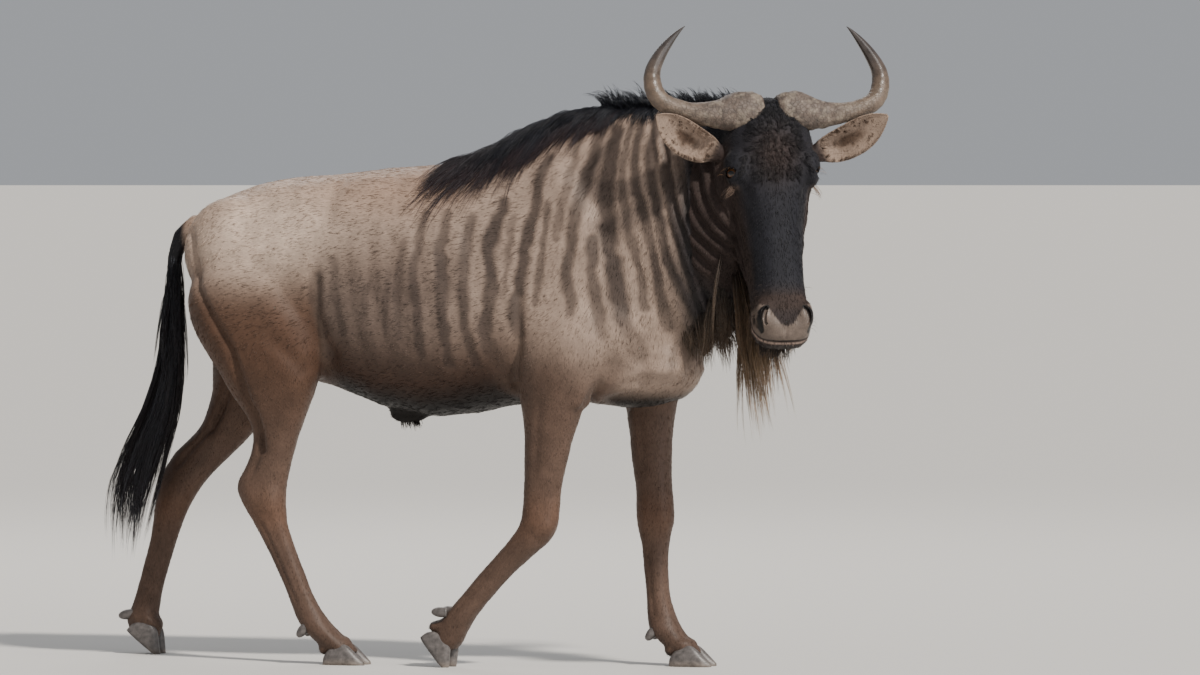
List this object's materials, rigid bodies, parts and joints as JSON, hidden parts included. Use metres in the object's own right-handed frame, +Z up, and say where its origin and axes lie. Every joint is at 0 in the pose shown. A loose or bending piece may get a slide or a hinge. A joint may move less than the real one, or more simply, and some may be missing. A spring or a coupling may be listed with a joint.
{
  "type": "wildebeest",
  "caption": "Life-size still model of a walking wildebeest bull, head turned to its right, on four cloven hoofs, with curved horns, mane, beard and long tail.",
  "frame": {"origin": "on the floor, under the middle of the box round the whole animal", "axes": "+X from the rump towards the chest, +Y to the animal's left, +Z up"},
  "size_m": [1.9112, 0.5286, 1.4507],
  "materials": {
    "coat": "short, slightly glossy grey-brown fur with dark stripes",
    "face": "short black fur, bare grey-brown nose",
    "horn": "rough grey-brown horn, smooth dark tips",
    "hoof": "dark grey horn, worn at the edges",
    "eye": "wet, dark brown",
    "hair": "long, coarse black hair"
  },
  "bodies": {
    "root": {"torso": "coat", "neck": "coat", "head": "face", "tail": "hair", "leg_front_left": "coat", "leg_front_right": "coat", "leg_hind_left": "coat", "leg_hind_right": "coat", "eye_left": "eye", "eye_right": "eye", "horn_left": "horn", "horn_right": "horn", "ear_left": "coat", "ear_right": "coat", "claw_front_left_left": "hoof", "claw_front_left_right": "hoof", "claw_front_right_left": "hoof", "claw_front_right_right": "hoof", "claw_hind_left_left": "hoof", "claw_hind_left_right": "hoof", "claw_hind_right_left": "hoof", "claw_hind_right_right": "hoof", "dewclaw_front_left_left": "hoof", "dewclaw_front_left_right": "hoof", "dewclaw_front_right_left": "hoof", "dewclaw_front_right_right": "hoof", "dewclaw_hind_left_left": "hoof", "dewclaw_hind_left_right": "hoof", "dewclaw_hind_right_left": "hoof", "dewclaw_hind_right_right": "hoof"}
  },
  "joints": []
}
